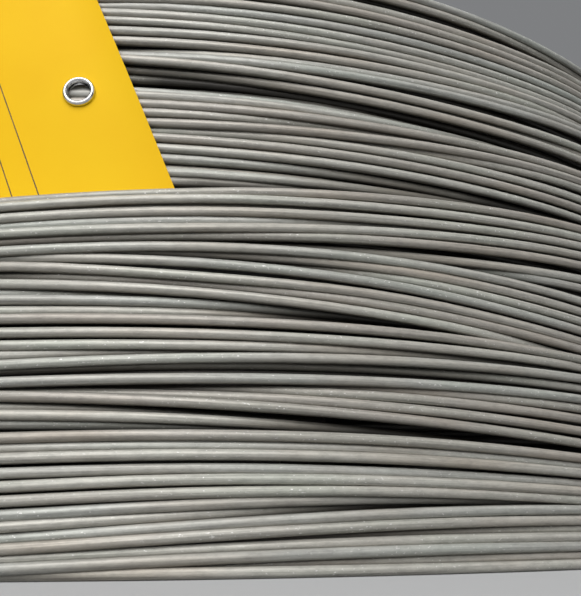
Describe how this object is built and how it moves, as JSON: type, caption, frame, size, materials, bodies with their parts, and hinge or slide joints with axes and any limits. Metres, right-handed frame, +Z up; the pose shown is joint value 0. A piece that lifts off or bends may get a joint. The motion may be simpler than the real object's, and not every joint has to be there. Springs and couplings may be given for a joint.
{
  "type": "coil of steel wire rod",
  "caption": "Flat-lying coil of steel wire rod with an open bore, bound with steel straps and marked with an eyeletted tag.",
  "frame": {"origin": "centre of the coil's footprint on the floor, on the axis of the bore", "axes": "+Z up along the bore; -Y is the side with the tag that the picture shows; +X is to the right of someone who faces that side"},
  "size_m": [0.97, 0.97, 0.29],
  "materials": {
    "rod_steel": "satin",
    "strap_steel": "satin",
    "seal_steel": "satin",
    "tag_plastic": "semi-gloss",
    "eyelet_metal": "polished"
  },
  "bodies": {
    "root": {"coil": "rod_steel", "strap_1": "strap_steel", "strap_2": "strap_steel", "strap_3": "strap_steel", "strap_4": "strap_steel", "seal_1": "seal_steel", "seal_2": "seal_steel", "seal_3": "seal_steel", "seal_4": "seal_steel", "tag": "tag_plastic", "tag_eyelet": "eyelet_metal"}
  },
  "joints": []
}
